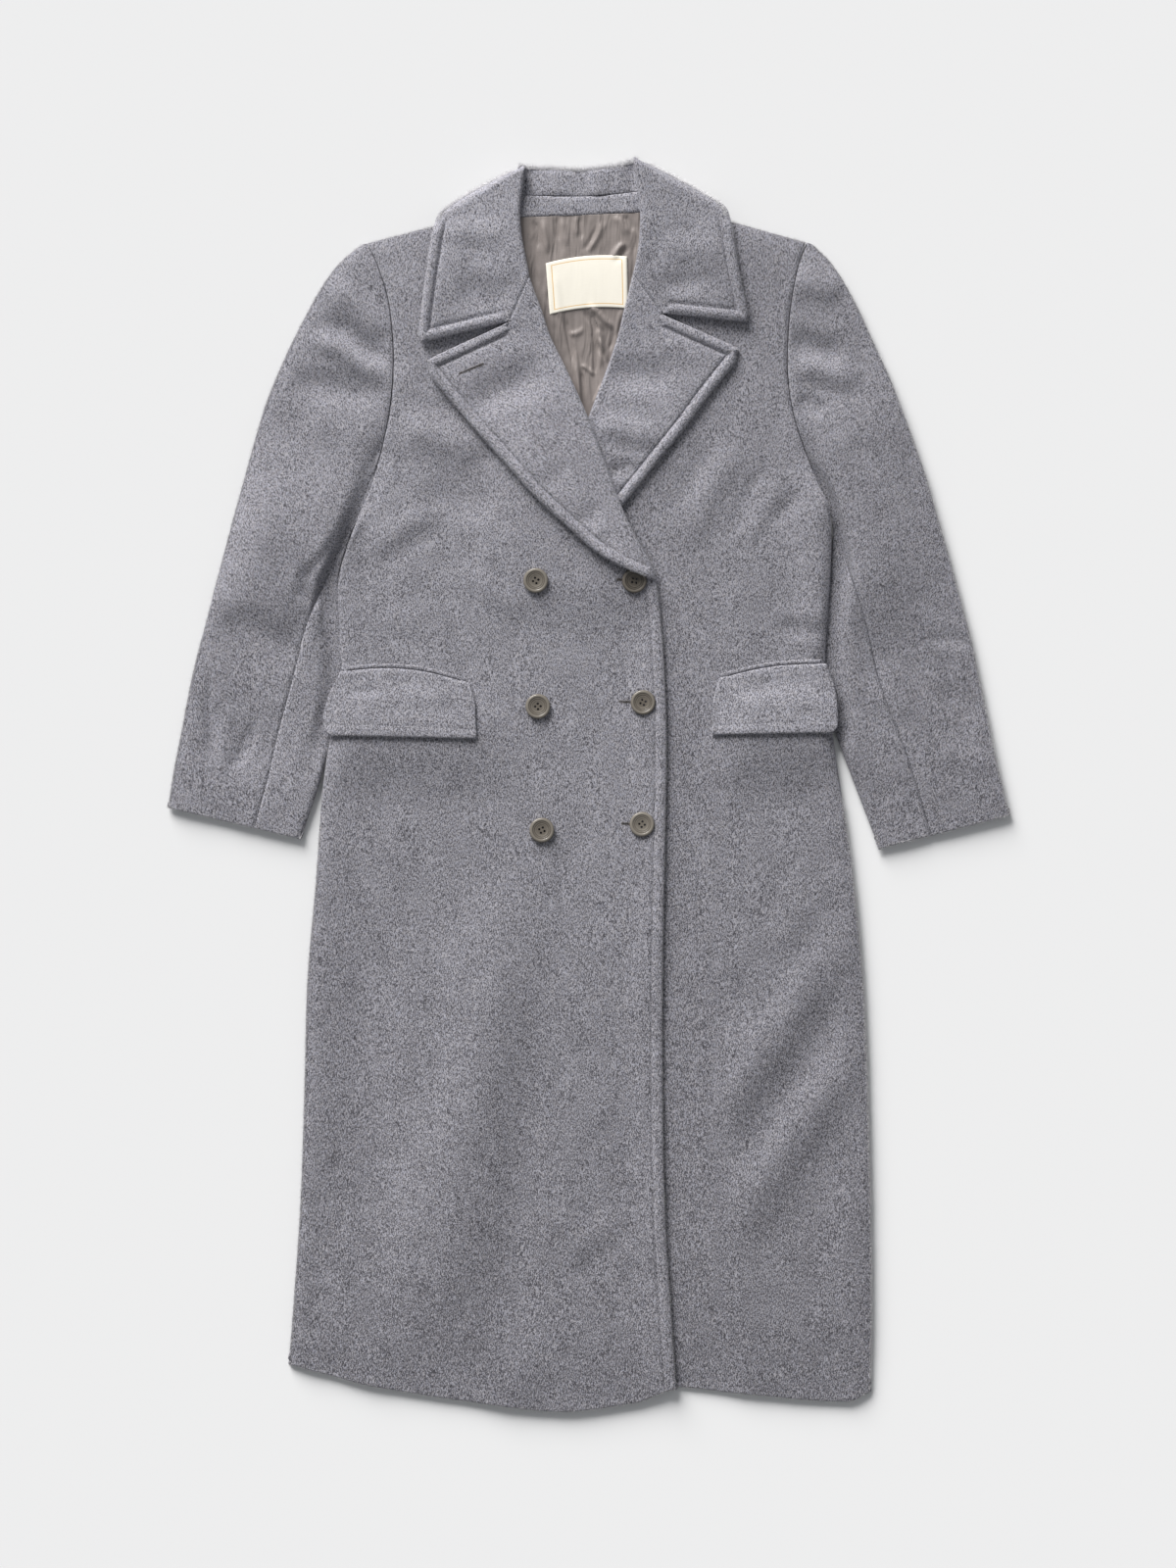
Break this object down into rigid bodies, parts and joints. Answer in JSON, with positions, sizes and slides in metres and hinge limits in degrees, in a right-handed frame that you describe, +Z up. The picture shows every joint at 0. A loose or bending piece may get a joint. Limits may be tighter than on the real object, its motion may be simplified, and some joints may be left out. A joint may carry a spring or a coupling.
{
  "type": "double-breasted wool coat",
  "caption": "Long double-breasted grey wool coat with notched lapels, pocket flaps and horn buttons, closed and laid flat on its back.",
  "frame": {"origin": "middle of the coat's outline, on the surface that it lies on", "axes": "+X to the wearer's left, +Y from the hem to the collar, +Z up out of the front"},
  "size_m": [0.858, 1.2763, 0.0249],
  "materials": {
    "wool": "grey melange wool with a short soft nap",
    "lining": "taupe satin lining",
    "label": "cream satin, bare",
    "button": "grey brown horn effect, polished"
  },
  "bodies": {
    "root": {"back": "wool", "front_left": "wool", "front_right": "wool", "sleeve_upper_right": "wool", "sleeve_upper_left": "wool", "sleeve_under_right": "wool", "sleeve_under_left": "wool", "collar_fall": "wool", "collar_stand": "wool", "neck_facing": "wool", "lining": "lining", "label": "label", "lapel_left": "wool", "lapel_right": "wool", "collar_leaf_left": "wool", "collar_leaf_right": "wool", "flap_right": "wool", "flap_left": "wool", "jet_right": "wool", "jet_left": "wool", "button_1": "button", "button_2": "button", "button_3": "button", "button_4": "button", "button_5": "button", "button_6": "button"}
  },
  "joints": []
}
